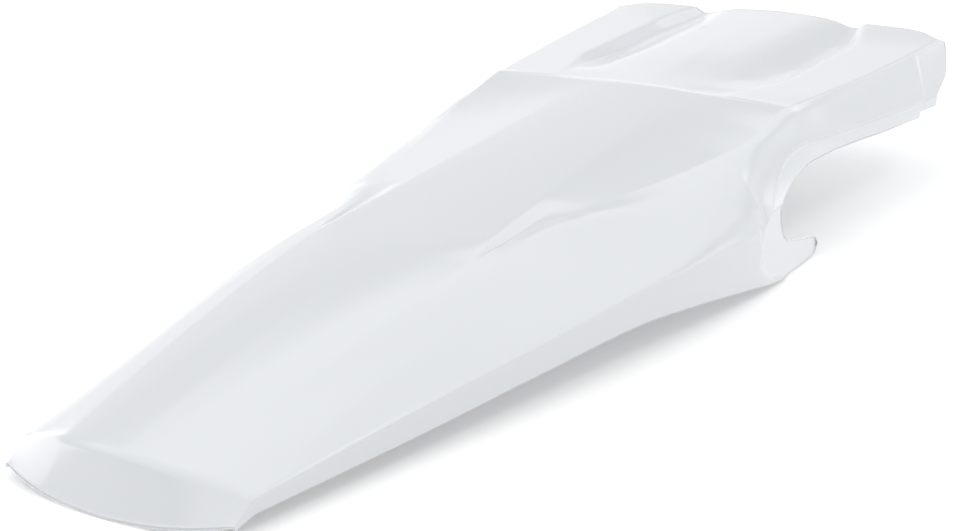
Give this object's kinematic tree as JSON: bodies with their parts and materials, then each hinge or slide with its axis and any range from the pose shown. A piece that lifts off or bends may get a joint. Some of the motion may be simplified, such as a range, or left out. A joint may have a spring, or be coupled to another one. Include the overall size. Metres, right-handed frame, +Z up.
{
  "type": "motorcycle rear fender",
  "caption": "Rear fender for an off-road motorcycle: a long thin white moulded shell with a raised centre panel, a crest, a seat shelf, and hooked side panels",
  "frame": {"origin": "below the middle of the length, on the mid-plane, on the floor the tail lip rests on", "axes": "+X forward along the motorcycle, +Y to its left, +Z up"},
  "size_m": [0.5906, 0.2364, 0.0781],
  "materials": {
    "fender_plastic": "smooth white injection-moulded polypropylene with a soft gloss"
  },
  "bodies": {
    "root": {"rear_fender": "fender_plastic"}
  },
  "joints": []
}
